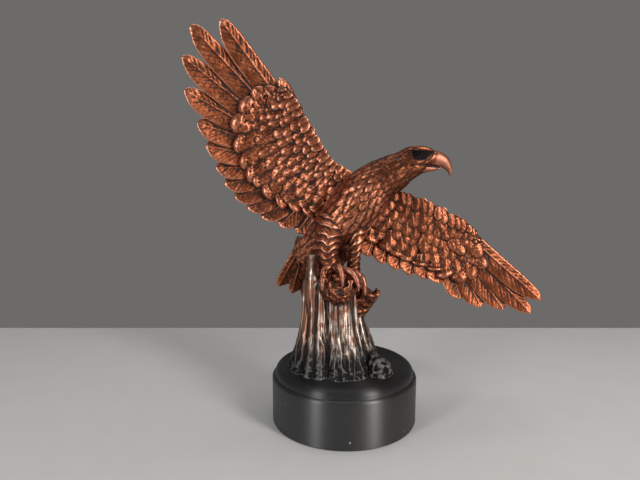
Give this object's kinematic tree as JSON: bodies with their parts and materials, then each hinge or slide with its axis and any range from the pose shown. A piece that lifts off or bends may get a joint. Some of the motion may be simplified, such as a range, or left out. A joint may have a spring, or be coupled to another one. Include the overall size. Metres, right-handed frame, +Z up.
{
  "type": "eagle sculpture",
  "caption": "Cast eagle with spread wings gripping a broken tree stump, in copper finish on a round stepped black plinth.",
  "frame": {"origin": "centre of the plinth's underside", "axes": "+Z up, -Y the front that the eagle's breast faces, +X the side that the beak and the lowered left wing point to"},
  "size_m": [0.2788, 0.114, 0.3079],
  "materials": {
    "plinth": "satin black",
    "eagle_on_stump": "cast resin with copper coating and dark patina, silvered black at the foot",
    "right_wing": "cast resin with copper coating and dark patina",
    "left_wing": "cast resin with copper coating and dark patina"
  },
  "bodies": {
    "root": {"plinth": "plinth", "eagle_on_stump": "eagle_on_stump", "right_wing": "right_wing", "left_wing": "left_wing"}
  },
  "joints": []
}
